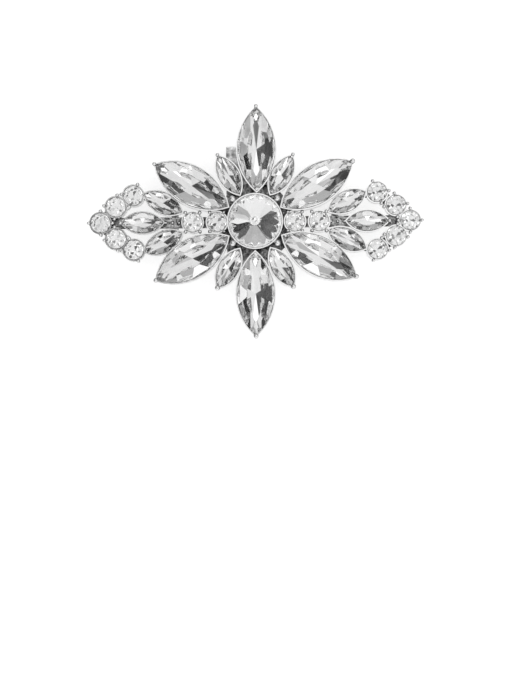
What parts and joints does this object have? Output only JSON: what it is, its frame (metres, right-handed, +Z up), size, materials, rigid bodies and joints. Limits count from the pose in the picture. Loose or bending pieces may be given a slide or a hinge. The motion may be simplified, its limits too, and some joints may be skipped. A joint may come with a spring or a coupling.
{
  "type": "shoe clip",
  "caption": "Ornamental shoe clip: cut clear stones in a cast metal setting shaped as a flower between leaf sprays and chevrons, carried by a folded spring clip.",
  "frame": {"origin": "middle of the outline, on the surface that the spring clip rests on", "axes": "+Z up from the spring clip to the stones, +X along the ornament, +Y across it towards the spring clip's fold"},
  "size_m": [0.0603, 0.0418, 0.0112],
  "materials": {
    "cast_metal": "polished silver-coloured casting",
    "spring_metal": "satin plated strip",
    "stone": "cut clear glass with a silvered back"
  },
  "bodies": {
    "root": {"setting": "cast_metal", "spring_clip": "spring_metal", "centre_stone": "stone", "petal_top": "stone", "petal_upper_right": "stone", "petal_lower_right": "stone", "petal_bottom": "stone", "petal_lower_left": "stone", "petal_upper_left": "stone", "star_upper_right": "stone", "star_lower_right": "stone", "star_lower_left": "stone", "star_upper_left": "stone", "leaf_upper_left": "stone", "leaf_middle_left": "stone", "leaf_lower_left": "stone", "leaf_upper_right": "stone", "leaf_middle_right": "stone", "leaf_lower_right": "stone", "row_left_outer": "stone", "row_left_inner": "stone", "row_right_inner": "stone", "row_right_outer": "stone", "chevron_upper_end_left": "stone", "chevron_lower_end_left": "stone", "chevron_upper_end_right": "stone", "chevron_lower_end_right": "stone", "chevron_upper_left": "stone", "chevron_lower_left": "stone", "chevron_upper_right": "stone", "chevron_lower_right": "stone", "chevron_corner_left": "stone", "chevron_corner_right": "stone"}
  },
  "joints": []
}
